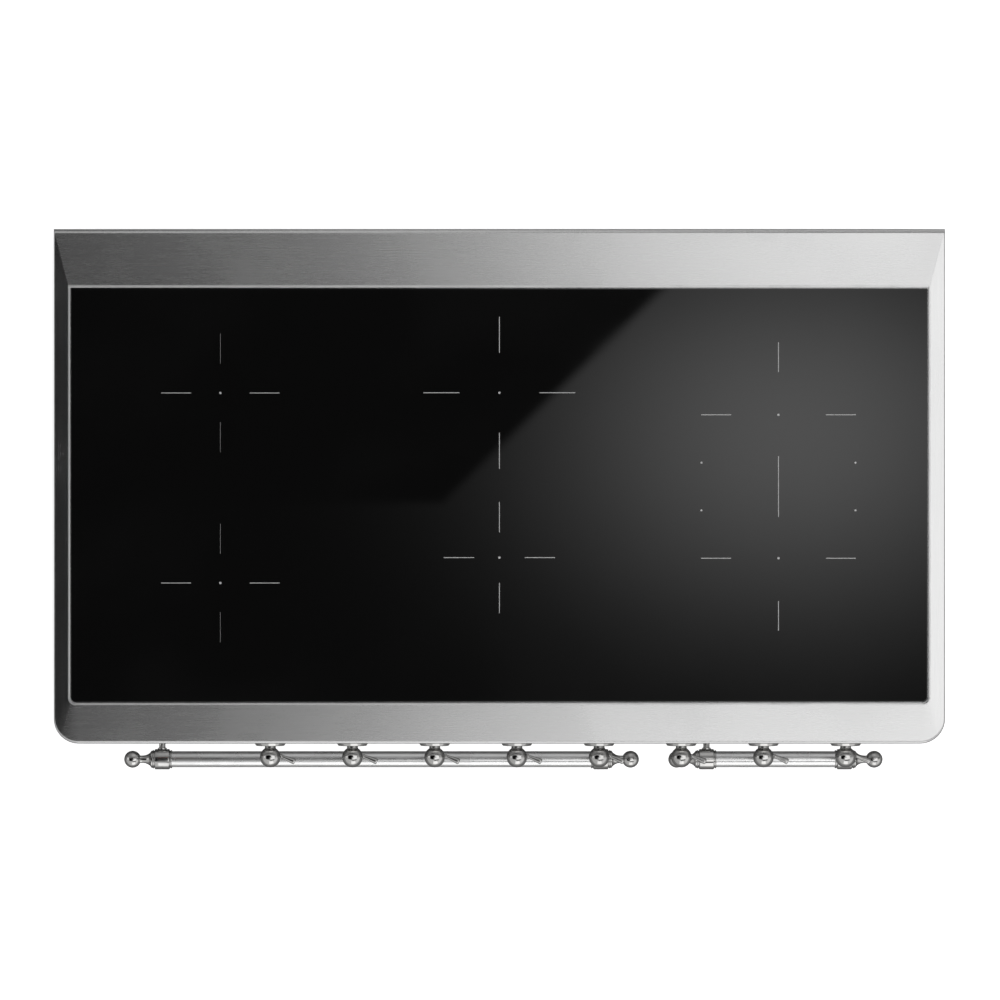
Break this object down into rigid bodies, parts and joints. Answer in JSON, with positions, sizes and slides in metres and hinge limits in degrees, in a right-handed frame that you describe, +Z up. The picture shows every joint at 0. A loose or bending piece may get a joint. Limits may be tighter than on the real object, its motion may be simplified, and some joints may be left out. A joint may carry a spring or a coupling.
{
  "type": "electric induction cooktop",
  "caption": "Wide built-in induction cooktop: flush black glass in a brushed steel deck, lever ball knobs along the front and turned towel rails below them.",
  "frame": {"origin": "on the plane under the feet, below the centre of the steel deck", "axes": "+X to the user's right, -Y towards the user, +Z up"},
  "size_m": [1.2168, 0.7449, 0.216],
  "materials": {
    "brushed_stainless": "satin, brushed along the width",
    "black_glass": "polished black ceramic glass with thin printed marks",
    "silicone_seal": "matt black silicone",
    "chrome_plate": "polished",
    "litz_copper": "lacquered copper strand",
    "carrier_plastic": "moulded, heat resistant",
    "ferrite": "sintered, matt",
    "sensor_ceramic": "matt",
    "spring_steel": "satin",
    "plain_aluminium": "mill finish",
    "circuit_board": "solder-resist green",
    "board_parts": "mixed moulded parts",
    "black_plastic": "moulded",
    "ivory_plastic": "moulded",
    "galvanised_sheet": "zinc coated, dull",
    "wire_insulation": "silicone sleeve",
    "smoked_window": "polished, nearly black",
    "foot_rubber": "matt",
    "plated_steel": "zinc plated"
  },
  "bodies": {
    "chassis": {"top_frame": "brushed_stainless", "glass_top": "black_glass", "glass_seal": "silicone_seal", "coils_left": "litz_copper", "coil_middle_rear": "litz_copper", "coil_middle_front": "litz_copper", "coils_right": "litz_copper", "coil_carriers": "carrier_plastic", "ferrite_bars": "ferrite", "zone_sensors": "sensor_ceramic", "carrier_springs": "spring_steel", "shield_plates": "plain_aluminium", "power_boards": "circuit_board", "board_components": "board_parts", "heat_sinks": "plain_aluminium", "wiring_loom": "wire_insulation", "fan_frames": "black_plastic", "base_pan": "galvanised_sheet", "side_panel_left": "galvanised_sheet", "side_panel_right": "galvanised_sheet", "rear_panel": "galvanised_sheet", "control_fascia": "brushed_stainless", "knob_bezels": "chrome_plate", "encoders": "black_plastic", "control_boards": "circuit_board", "display_window": "smoked_window", "rail_bars": "chrome_plate", "rail_posts": "chrome_plate", "rail_barrels": "chrome_plate", "rail_finials": "chrome_plate", "terminal_block": "ivory_plastic", "cable_gland": "black_plastic", "support_feet": "foot_rubber", "fasteners": "plated_steel"},
    "dial_1": {"knob_1": "chrome_plate", "lever_1": "chrome_plate", "spindle_1": "plated_steel"},
    "dial_2": {"knob_2": "chrome_plate", "lever_2": "chrome_plate", "spindle_2": "plated_steel"},
    "dial_3": {"knob_3": "chrome_plate", "lever_3": "chrome_plate", "spindle_3": "plated_steel"},
    "dial_4": {"knob_4": "chrome_plate", "lever_4": "chrome_plate", "spindle_4": "plated_steel"},
    "dial_5": {"knob_5": "chrome_plate", "lever_5": "chrome_plate", "spindle_5": "plated_steel"},
    "dial_6": {"knob_6": "chrome_plate", "lever_6": "chrome_plate", "spindle_6": "plated_steel"},
    "dial_7": {"knob_7": "chrome_plate", "lever_7": "chrome_plate", "spindle_7": "plated_steel"},
    "dial_8": {"knob_8": "chrome_plate", "lever_8": "chrome_plate", "spindle_8": "plated_steel"},
    "fan_left": {"fan_rotor_left": "black_plastic"},
    "fan_right": {"fan_rotor_right": "black_plastic"}
  },
  "joints": [
    {"name": "dial_turn_1", "type": "hinge", "parent": "chassis", "child": "dial_1", "pos_m": [-0.315, -0.3721, 0.15], "axis": [0, 1, 0], "range_deg": [0, 270]},
    {"name": "dial_turn_2", "type": "hinge", "parent": "chassis", "child": "dial_2", "pos_m": [-0.202, -0.3721, 0.15], "axis": [0, 1, 0], "range_deg": [0, 270]},
    {"name": "dial_turn_3", "type": "hinge", "parent": "chassis", "child": "dial_3", "pos_m": [-0.089, -0.3721, 0.15], "axis": [0, 1, 0], "range_deg": [0, 270]},
    {"name": "dial_turn_4", "type": "hinge", "parent": "chassis", "child": "dial_4", "pos_m": [0.024, -0.3721, 0.15], "axis": [0, 1, 0], "range_deg": [0, 270]},
    {"name": "dial_turn_5", "type": "hinge", "parent": "chassis", "child": "dial_5", "pos_m": [0.137, -0.3721, 0.15], "axis": [0, 1, 0], "range_deg": [0, 270]},
    {"name": "dial_turn_6", "type": "hinge", "parent": "chassis", "child": "dial_6", "pos_m": [0.25, -0.3721, 0.15], "axis": [0, 1, 0], "range_deg": [0, 270]},
    {"name": "dial_turn_7", "type": "hinge", "parent": "chassis", "child": "dial_7", "pos_m": [0.363, -0.3721, 0.15], "axis": [0, 1, 0], "range_deg": [0, 270]},
    {"name": "dial_turn_8", "type": "hinge", "parent": "chassis", "child": "dial_8", "pos_m": [0.476, -0.3721, 0.15], "axis": [0, 1, 0], "range_deg": [0, 270]},
    {"name": "fan_spin_left", "type": "hinge", "parent": "chassis", "child": "fan_left", "pos_m": [-0.1997, 0.15, 0.0252], "axis": [0, 0, 1], "continuous": true},
    {"name": "fan_spin_right", "type": "hinge", "parent": "chassis", "child": "fan_right", "pos_m": [0.1997, 0.15, 0.0252], "axis": [0, 0, 1], "continuous": true}
  ]
}
